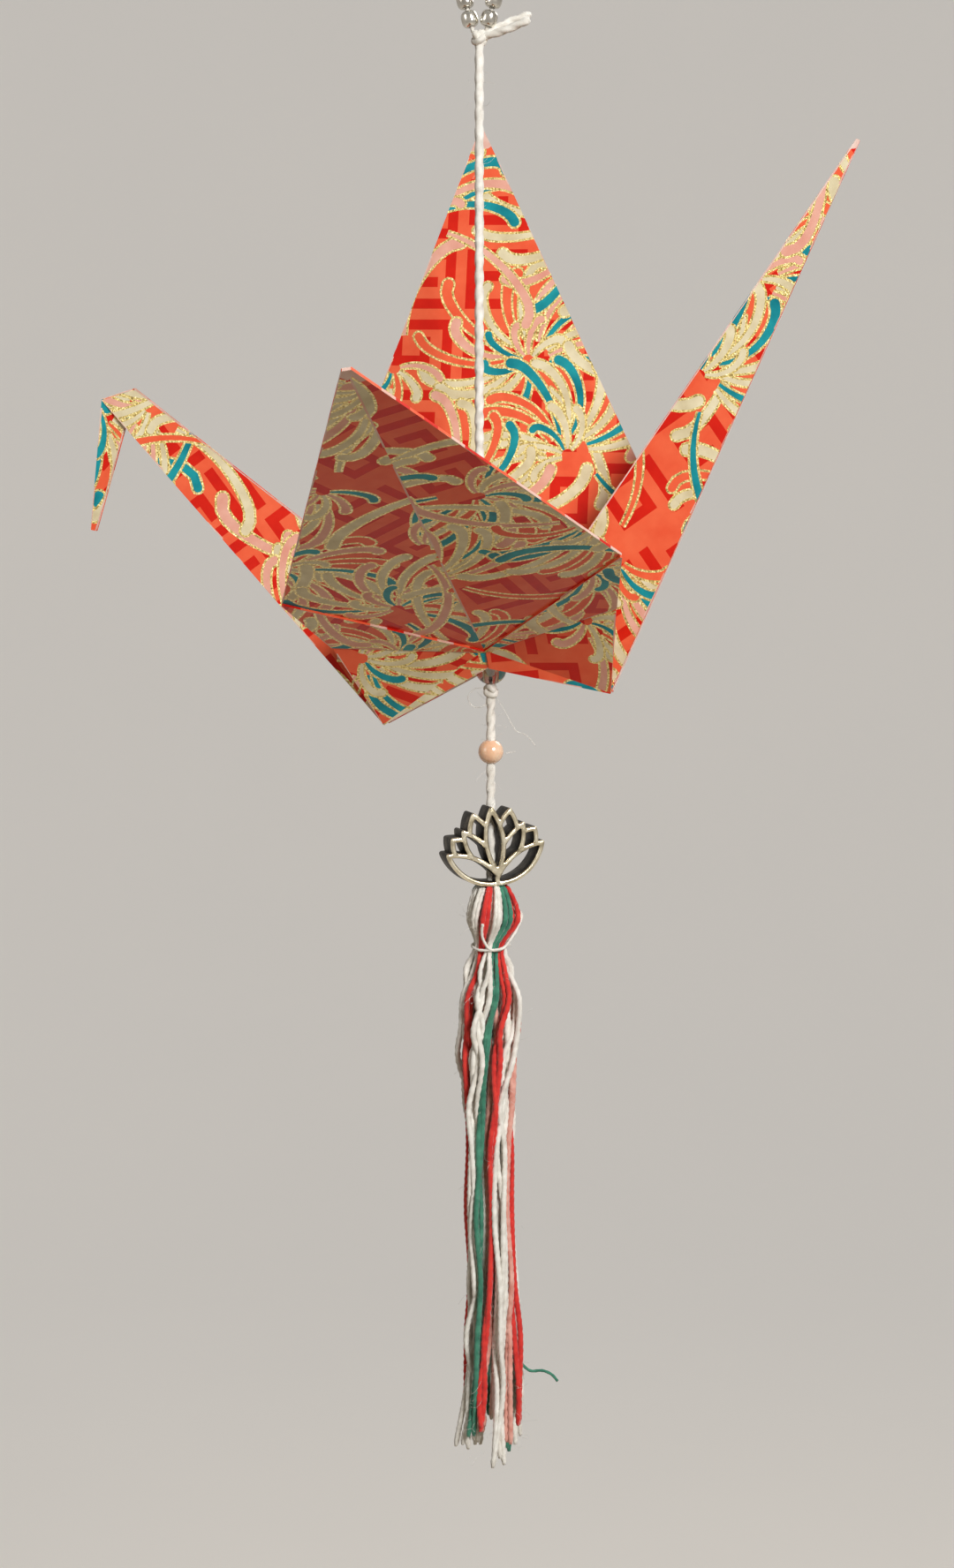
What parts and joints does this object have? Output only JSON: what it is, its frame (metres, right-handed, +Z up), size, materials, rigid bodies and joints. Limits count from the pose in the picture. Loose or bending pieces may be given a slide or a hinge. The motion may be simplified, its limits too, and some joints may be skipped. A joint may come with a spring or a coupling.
{
  "type": "origami crane ornament",
  "caption": "Hanging ornament: a crane folded from one patterned paper sheet on a cord, with a bead loop above and small beads, an openwork lotus bead and a thread tassel below.",
  "frame": {"origin": "inside top of the bead loop, where a hook carries the ornament", "axes": "+Z up along the hanging cord, -X towards the crane's head, +X towards its tail, -Y towards the lower wing and the viewer"},
  "size_m": [0.0974, 0.0839, 0.1952],
  "materials": {
    "printed_paper": "glossy varnish over a red print with gold outlines",
    "white_floss": "twisted cotton floss, soft sheen",
    "red_floss": "twisted cotton floss",
    "green_floss": "twisted cotton floss",
    "salmon_floss": "twisted cotton floss",
    "silver_beads": "bright plated seed beads",
    "clear_glass": "clear polished glass",
    "coral": "opaque coral pink, polished",
    "antique_silver": "polished warm silver faces with blackened sides"
  },
  "bodies": {
    "root": {"paper_crane": "printed_paper", "hanging_cord": "white_floss", "top_knot": "white_floss", "stop_knot": "white_floss", "tassel_knot": "white_floss", "hanger_thread": "white_floss", "hanger_beads": "silver_beads", "glass_bead": "clear_glass", "coral_bead": "coral", "lotus_bead": "antique_silver", "tassel_threads_white": "white_floss", "tassel_threads_red": "red_floss", "tassel_threads_green": "green_floss", "tassel_threads_salmon": "salmon_floss", "tassel_tie": "white_floss"}
  },
  "joints": []
}
